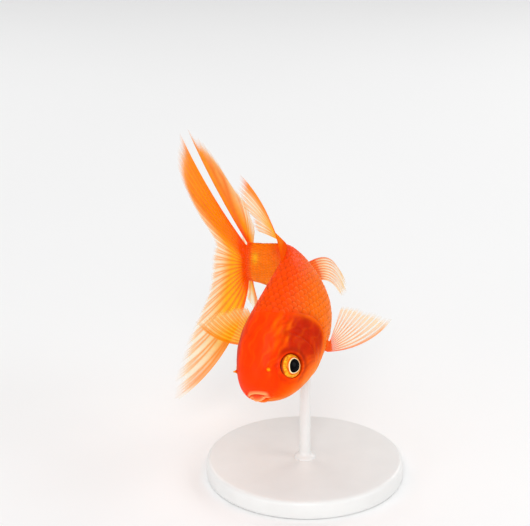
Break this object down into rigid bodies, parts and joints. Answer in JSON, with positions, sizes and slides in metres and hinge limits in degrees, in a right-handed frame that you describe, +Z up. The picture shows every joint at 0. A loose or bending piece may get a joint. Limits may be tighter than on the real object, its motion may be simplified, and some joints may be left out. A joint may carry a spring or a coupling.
{
  "type": "diving fantail goldfish model",
  "caption": "Life-size fantail goldfish in a steep diving turn, fins and double tail spread, carried on a rod over a round flat base.",
  "frame": {"origin": "middle of the underside of the round stand base", "axes": "+Z up; the fish dives toward -Y and slightly -X, its left side faces +X, its tail rises toward -X and +Y"},
  "size_m": [0.0649, 0.0781, 0.0912],
  "materials": {
    "fish_skin": "wet scaled skin, vivid orange-red, semi-gloss",
    "fin_membrane": "thin translucent membrane over fine rays, orange fading to clear",
    "eye_gloss": "clear glossy cornea over a golden iris and black pupil",
    "stand_resin": "satin pale resin"
  },
  "bodies": {
    "root": {"head": "fish_skin", "trunk_front": "fish_skin", "trunk_rear": "fish_skin", "tail_stalk": "fish_skin", "eye_left": "eye_gloss", "eye_right": "eye_gloss", "dorsal_fin": "fin_membrane", "pectoral_fin_left": "fin_membrane", "pectoral_fin_right": "fin_membrane", "pelvic_fin_left": "fin_membrane", "pelvic_fin_right": "fin_membrane", "anal_fin": "fin_membrane", "tail_fin_left": "fin_membrane", "tail_fin_right": "fin_membrane", "stand_base": "stand_resin", "stand_rod": "stand_resin"}
  },
  "joints": []
}
